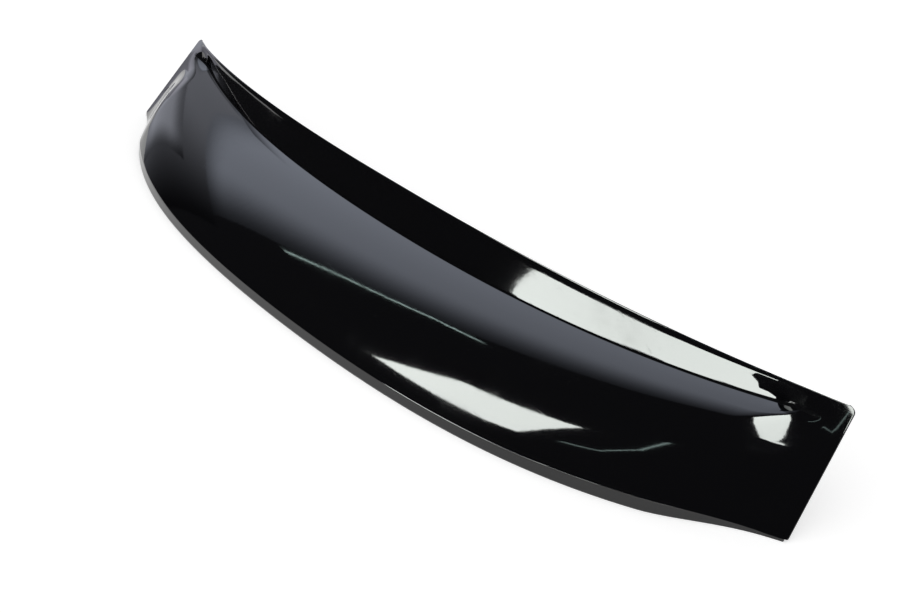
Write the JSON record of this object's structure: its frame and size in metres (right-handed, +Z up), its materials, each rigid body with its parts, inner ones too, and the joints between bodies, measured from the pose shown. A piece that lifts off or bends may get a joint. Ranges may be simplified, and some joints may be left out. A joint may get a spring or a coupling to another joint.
{
  "type": "tailgate spoiler",
  "caption": "Long bowed one-piece moulded shell with a trailing lip, a folded front wall and flat end flanges.",
  "frame": {"origin": "middle of the part's box, on the surface that the rim of the trailing lip rests on", "axes": "+X along the part, +Y from the trailing lip towards the front edge, +Z up as the part rests"},
  "size_m": [1.2028, 0.2508, 0.116],
  "materials": {
    "gloss_black": "high-gloss black, lightly dusty"
  },
  "bodies": {
    "root": {"spoiler_shell": "gloss_black"}
  },
  "joints": []
}
